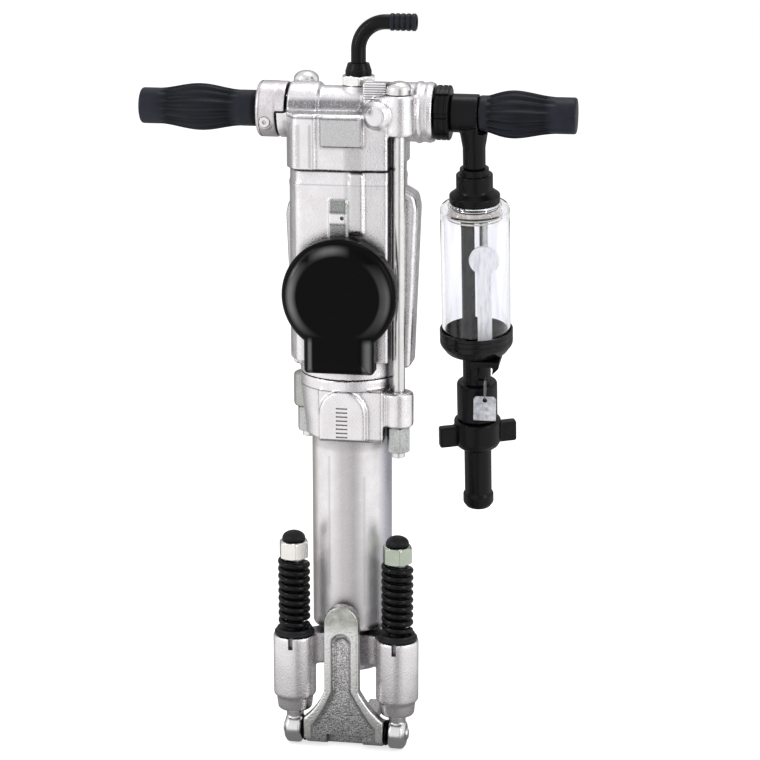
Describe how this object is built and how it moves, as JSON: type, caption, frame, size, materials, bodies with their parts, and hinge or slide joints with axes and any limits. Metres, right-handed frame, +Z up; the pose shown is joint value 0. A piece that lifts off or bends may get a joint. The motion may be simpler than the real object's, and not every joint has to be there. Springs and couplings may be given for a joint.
{
  "type": "pneumatic rock drill",
  "caption": "Hand-held pneumatic rock drill with T-handle, twist throttle, swivelling air inlet and line oiler, muffler, side rods and a sprung steel retainer.",
  "frame": {"origin": "mouth of the chuck, on the drill axis, where the drill steel enters", "axes": "+Z up along the drill axis away from the steel, -Y to the muffler side, +X to the air inlet side"},
  "size_m": [0.4132, 0.1512, 0.7124],
  "materials": {
    "cast_silver": "silver-painted casting",
    "machined_steel": "turned and ground",
    "forged_steel": "forged, lightly scaled",
    "pink_cast": "bare casting, matt",
    "black_paint": "satin black",
    "gloss_black": "gloss black enamel",
    "grip_rubber": "moulded, satin",
    "black_spring": "blackened wire",
    "bronze": "turned",
    "clear_cup": "clear moulding",
    "white_plastic": "plain",
    "seal_rubber": "matt"
  },
  "bodies": {
    "machine": {"front_head": "cast_silver", "cylinder": "cast_silver", "rear_head": "cast_silver", "muffler_cover": "gloss_black", "side_rod_front": "machined_steel", "side_rod_back": "machined_steel", "side_rod_nut_front": "forged_steel", "side_rod_nut_back": "forged_steel", "water_inlet_bush": "machined_steel", "water_gland_nut": "black_paint", "water_tube": "machined_steel", "water_tube_seal": "seal_rubber", "inlet_ring_nut": "black_paint", "spring_seat_left": "seal_rubber", "spring_seat_right": "seal_rubber", "retainer_spring_left": "black_spring", "retainer_spring_right": "black_spring", "ratchet_ring": "forged_steel", "valve_chest": "bronze", "valve_cover": "bronze", "piston_guide_bush": "bronze", "nose_bush": "bronze"},
    "throttle": {"throttle_tube": "machined_steel", "throttle_collar": "pink_cast", "collar_screw": "machined_steel", "left_grip": "grip_rubber"},
    "air_inlet": {"swivel_tee": "black_paint", "right_grip": "grip_rubber", "oiler_top_cap": "black_paint", "oiler_cup": "clear_cup", "oiler_base": "black_paint", "hose_connector": "black_paint", "oiler_air_tube": "black_paint", "oil_feed_key": "white_plastic", "oil_feed_tube": "forged_steel", "hose_tail": "black_paint", "inlet_strainer": "bronze"},
    "hose_nut": {"wing_nut": "black_paint"},
    "tag": {"tag": "white_plastic", "tag_wire": "forged_steel"},
    "water_elbow": {"water_elbow": "black_paint", "hose_ferrule": "seal_rubber"},
    "retainer_carriage": {"retainer_bolt_left": "machined_steel", "retainer_bolt_right": "machined_steel", "retainer_nut_left": "machined_steel", "retainer_nut_right": "machined_steel", "retainer_pin": "machined_steel"},
    "retainer": {"steel_retainer": "forged_steel"},
    "rifle_bar": {"rifle_bar": "machined_steel"},
    "pawl_1": {"pawl_1": "machined_steel"},
    "pawl_2": {"pawl_2": "machined_steel"},
    "pawl_3": {"pawl_3": "machined_steel"},
    "pawl_4": {"pawl_4": "machined_steel"},
    "chuck": {"rotation_sleeve": "machined_steel", "chuck": "machined_steel", "chuck_bushing": "forged_steel"},
    "piston": {"piston": "machined_steel", "rifle_nut": "bronze"},
    "valve": {"distribution_valve": "machined_steel"}
  },
  "joints": [
    {"name": "throttle_twist", "type": "hinge", "parent": "machine", "child": "throttle", "pos_m": [-0.08, 0, 0.5473], "axis": [-1, 0, 0], "range_deg": [0, 72]},
    {"name": "air_inlet_swivel", "type": "hinge", "parent": "machine", "child": "air_inlet", "pos_m": [0.1, 0, 0.5473], "axis": [1, 0, 0], "range_deg": [-60, 75]},
    {"name": "hose_nut_spin", "type": "hinge", "parent": "air_inlet", "child": "hose_nut", "pos_m": [0.1155, 0.05084, 0.2263], "axis": [0, -0.1564, 0.9877], "continuous": true},
    {"name": "tag_swing", "type": "hinge", "parent": "air_inlet", "child": "tag", "pos_m": [0.127, 0.01453, 0.28616], "axis": [1, 0, 0], "range_deg": [-20, 5]},
    {"name": "water_elbow_swivel", "type": "hinge", "parent": "machine", "child": "water_elbow", "pos_m": [0.007, 0, 0.6], "axis": [0, 0, 1], "continuous": true},
    {"name": "retainer_slide", "type": "slide", "parent": "machine", "child": "retainer_carriage", "axis": [0, 0, -1], "range_m": [0, 0.01], "stiffness_N_per_m": 120000, "springref_m": -0.002, "deforming": ["retainer_spring_left", "retainer_spring_right"]},
    {"name": "retainer_hinge", "type": "hinge", "parent": "retainer_carriage", "child": "retainer", "pos_m": [0, -0.037, -0.059], "axis": [1, 0, 0], "range_deg": [0, 90]},
    {"name": "rifle_bar_index", "type": "hinge", "parent": "machine", "child": "rifle_bar", "pos_m": [0, 0, 0.478], "axis": [0, 0, 1], "continuous": true},
    {"name": "chuck_turn", "type": "hinge", "parent": "rifle_bar", "child": "chuck", "pos_m": [0, 0, 0.1], "axis": [0, 0, 1], "range_deg": [0, 28]},
    {"name": "piston_stroke", "type": "slide", "parent": "chuck", "child": "piston", "axis": [0, 0, 1], "range_m": [0, 0.062]},
    {"name": "valve_shift", "type": "slide", "parent": "machine", "child": "valve", "axis": [0, 0, 1], "range_m": [0, 0.0024]},
    {"name": "pawl_1_lift", "type": "hinge", "parent": "rifle_bar", "child": "pawl_1", "pos_m": [0.0174, 0, 0.478], "axis": [0, 0, 1], "range_deg": [0, 14]},
    {"name": "pawl_2_lift", "type": "hinge", "parent": "rifle_bar", "child": "pawl_2", "pos_m": [0, 0.0174, 0.478], "axis": [0, 0, 1], "range_deg": [0, 14]},
    {"name": "pawl_3_lift", "type": "hinge", "parent": "rifle_bar", "child": "pawl_3", "pos_m": [-0.0174, 0, 0.478], "axis": [0, 0, 1], "range_deg": [0, 14]},
    {"name": "pawl_4_lift", "type": "hinge", "parent": "rifle_bar", "child": "pawl_4", "pos_m": [0, -0.0174, 0.478], "axis": [0, 0, 1], "range_deg": [0, 14]}
  ],
  "couplings": [
    {"joint": "chuck_turn", "follows": "piston_stroke", "rad_per_m": 7.854},
    {"joint": "pawl_2_lift", "follows": "pawl_1_lift", "ratio": 1},
    {"joint": "pawl_3_lift", "follows": "pawl_1_lift", "ratio": 1},
    {"joint": "pawl_4_lift", "follows": "pawl_1_lift", "ratio": 1}
  ]
}
